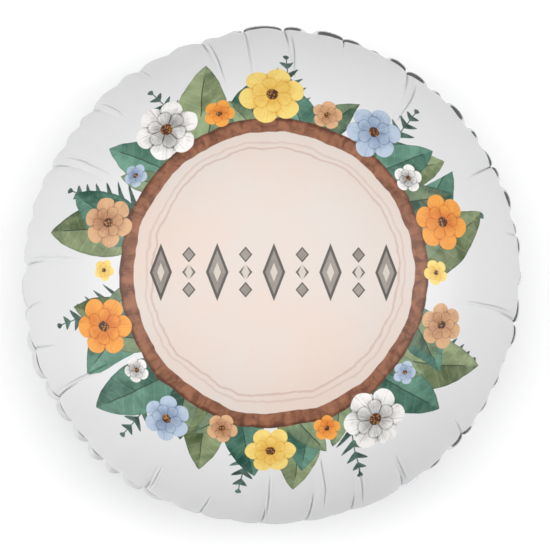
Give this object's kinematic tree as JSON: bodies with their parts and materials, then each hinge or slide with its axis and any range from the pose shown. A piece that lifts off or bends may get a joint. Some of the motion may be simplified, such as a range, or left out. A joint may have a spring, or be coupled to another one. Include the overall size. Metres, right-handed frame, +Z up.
{
  "type": "round foil balloon",
  "caption": "Inflated round foil balloon with a gathered, sealed edge and its filling neck folded behind, lying face up.",
  "frame": {"origin": "centre of the small flat spot on the back foil that the balloon rests on", "axes": "+Z up, out of the printed face; +Y towards the top of the printed picture, away from the filling neck; +X to the picture's right"},
  "size_m": [0.3416, 0.3408, 0.2001],
  "materials": {
    "printed_white_film": "satin",
    "silver_film": "polished",
    "valve_film": "matte"
  },
  "bodies": {
    "root": {"front_foil": "printed_white_film", "back_foil": "silver_film", "filling_neck": "silver_film", "valve_film": "valve_film"}
  },
  "joints": []
}
